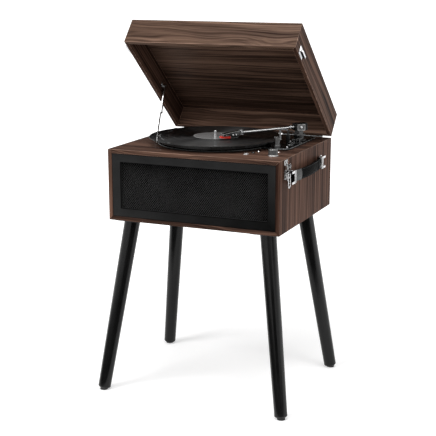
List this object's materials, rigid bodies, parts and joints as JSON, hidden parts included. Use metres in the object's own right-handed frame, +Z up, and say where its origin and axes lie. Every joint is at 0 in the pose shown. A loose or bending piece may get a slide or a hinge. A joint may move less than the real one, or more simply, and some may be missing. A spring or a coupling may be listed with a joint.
{
  "type": "record player with stand",
  "caption": "Suitcase record player with a hinged lid, folding stay, tonearm, speaker grille, side latches and strap handle, on splayed round legs.",
  "frame": {"origin": "on the floor, at the middle of the footprint of the player with its lid propped open", "axes": "+X to the player's right, +Y to its back, +Z up"},
  "size_m": [0.4626, 0.4155, 0.8352],
  "materials": {
    "walnut": "dark walnut wood-grain, satin",
    "black_board": "black fibreboard, matt",
    "black_frame": "satin black",
    "black_mesh": "matt black mesh",
    "speaker": "stamped basket with paper cone",
    "circuit": "green circuit board",
    "black_leg": "black satin lacquer",
    "black_steel": "black enamel",
    "rubber": "black rubber",
    "black_plastic": "fine-grained black moulding",
    "gloss_black": "gloss black moulding",
    "grey_plastic": "grey moulding",
    "silver": "satin silver",
    "chrome": "bright plate",
    "steel": "plain steel",
    "brass": "turned brass",
    "leather": "black grained strap",
    "felt": "black felt",
    "vinyl": "grooved black vinyl",
    "label": "plain grey label",
    "red": "red moulding",
    "lamp": "clear lamp"
  },
  "bodies": {
    "cabinet": {"side_panels": "walnut", "deck_panel": "walnut", "bottom_panel": "walnut", "rear_panel": "black_board", "speaker_baffle": "black_board", "grille_frame": "black_frame", "grille_mesh": "black_mesh", "speakers": "speaker", "amplifier_board": "circuit", "legs": "black_leg", "leg_plates": "black_steel", "leg_glides": "rubber", "drive_belt": "rubber", "rear_sockets": "black_plastic", "turntable_plate": "black_plastic", "tonearm_pedestal": "black_plastic", "audio_jacks": "black_plastic", "arm_rest": "grey_plastic", "latch_bases": "chrome", "handle_brackets": "chrome", "hinge_leaves_lower": "chrome", "stay_lower_bracket": "chrome", "case_screws": "chrome", "motor": "steel", "volume_control": "steel", "bearing_bush": "brass", "handle_strap": "leather", "indicator_lamp": "lamp"},
    "lid": {"lid_top_panel": "walnut", "lid_front_panel": "walnut", "lid_rear_panel": "walnut", "lid_side_panels": "walnut", "hinge_leaves_upper": "chrome", "lid_catches": "chrome", "stay_upper_bracket": "chrome", "lid_screws": "chrome"},
    "stay_lower": {"stay_lower_link": "chrome"},
    "stay_upper": {"stay_upper_link": "chrome"},
    "platter": {"platter": "black_plastic", "slip_mat": "felt", "record": "vinyl", "record_label": "label", "spindle": "chrome"},
    "pulley": {"motor_pulley": "brass"},
    "yoke": {"tonearm_yoke": "silver"},
    "tonearm": {"tonearm_block": "black_plastic", "tonearm_tube": "chrome", "headshell": "black_plastic", "stylus": "red"},
    "cue_lever": {"cue_lever": "black_plastic"},
    "cue_lift": {"cue_lift_bar": "rubber"},
    "speed_lever": {"speed_lever": "gloss_black"},
    "autostop_lever": {"autostop_lever": "gloss_black"},
    "volume_knob": {"volume_knob": "gloss_black"},
    "source_switch": {"source_switch_knob": "silver"},
    "arm_clip": {"arm_clip": "grey_plastic"},
    "latch_lever_right": {"latch_lever_right": "chrome"},
    "latch_lever_left": {"latch_lever_left": "chrome"},
    "latch_bail_right": {"latch_bail_right": "chrome"},
    "latch_bail_left": {"latch_bail_left": "chrome"}
  },
  "joints": [
    {"name": "lid_hinge", "type": "hinge", "parent": "cabinet", "child": "lid", "pos_m": [0, 0.16941, 0.5605], "axis": [1, 0, 0], "range_deg": [0, 41]},
    {"name": "stay_lower_pivot", "type": "hinge", "parent": "cabinet", "child": "stay_lower", "pos_m": [-0.191, 0.04161, 0.566], "axis": [1, 0, 0], "range_deg": [-61.19, 0]},
    {"name": "stay_upper_pivot", "type": "hinge", "parent": "lid", "child": "stay_upper", "pos_m": [-0.1886, 0.08078, 0.67225], "axis": [1, 0, 0], "range_deg": [0, 57.15]},
    {"name": "platter_spin", "type": "hinge", "parent": "cabinet", "child": "platter", "pos_m": [-0.016, -0.01039, 0.56], "axis": [0, 0, -1], "continuous": true},
    {"name": "pulley_spin", "type": "hinge", "parent": "cabinet", "child": "pulley", "pos_m": [-0.09095, 0.06456, 0.56], "axis": [0, 0, -1], "continuous": true},
    {"name": "tonearm_swing", "type": "hinge", "parent": "cabinet", "child": "yoke", "pos_m": [0.1545, 0.07361, 0.577], "axis": [0, 0, 1], "range_deg": [-2, 40]},
    {"name": "tonearm_lift", "type": "hinge", "parent": "yoke", "child": "tonearm", "pos_m": [0.1545, 0.07361, 0.596], "axis": [-0.7071, 0.7071, 0], "range_deg": [0, 3]},
    {"name": "cue_lever_pivot", "type": "hinge", "parent": "cabinet", "child": "cue_lever", "pos_m": [0.1675, 0.03861, 0.57], "axis": [-1, 0, 0], "range_deg": [0, 50]},
    {"name": "cue_lift_slide", "type": "slide", "parent": "cabinet", "child": "cue_lift", "axis": [0, 0, 1], "range_m": [0, 0.00178]},
    {"name": "speed_lever_turn", "type": "hinge", "parent": "cabinet", "child": "speed_lever", "pos_m": [0.159, 0.00361, 0.564], "axis": [0, 0, 1], "range_deg": [-25, 25]},
    {"name": "autostop_lever_turn", "type": "hinge", "parent": "cabinet", "child": "autostop_lever", "pos_m": [0.156, 0.03061, 0.564], "axis": [0, 0, 1], "range_deg": [0, 30]},
    {"name": "volume_turn", "type": "hinge", "parent": "cabinet", "child": "volume_knob", "pos_m": [0.165, -0.1194, 0.56], "axis": [0, 0, -1], "range_deg": [0, 280]},
    {"name": "source_switch_slide", "type": "slide", "parent": "cabinet", "child": "source_switch", "axis": [0, 1, 0], "range_m": [0, 0.004]},
    {"name": "arm_clip_turn", "type": "hinge", "parent": "cabinet", "child": "arm_clip", "pos_m": [0.15072, -0.03849, 0.6036], "axis": [0, 0, 1], "range_deg": [0, 180]},
    {"name": "latch_lever_right_pivot", "type": "hinge", "parent": "cabinet", "child": "latch_lever_right", "pos_m": [0.208, -0.14339, 0.543], "axis": [0, -1, 0], "range_deg": [0, 60]},
    {"name": "latch_bail_right_pivot", "type": "hinge", "parent": "latch_lever_right", "child": "latch_bail_right", "pos_m": [0.2108, -0.14339, 0.529], "axis": [0, -1, 0], "range_deg": [0, 115]},
    {"name": "latch_lever_left_pivot", "type": "hinge", "parent": "cabinet", "child": "latch_lever_left", "pos_m": [-0.208, -0.14339, 0.543], "axis": [0, 1, 0], "range_deg": [0, 60]},
    {"name": "latch_bail_left_pivot", "type": "hinge", "parent": "latch_lever_left", "child": "latch_bail_left", "pos_m": [-0.2108, -0.14339, 0.529], "axis": [0, 1, 0], "range_deg": [0, 115]}
  ],
  "couplings": [
    {"joint": "stay_lower_pivot", "follows": "lid_hinge", "ratio": -1.4925},
    {"joint": "stay_upper_pivot", "follows": "lid_hinge", "ratio": 1.3938},
    {"joint": "pulley_spin", "follows": "platter_spin", "ratio": 11.581},
    {"joint": "cue_lift_slide", "follows": "cue_lever_pivot", "m_per_rad": 0.002039},
    {"joint": "tonearm_lift", "follows": "cue_lever_pivot", "ratio": 0.059999}
  ]
}
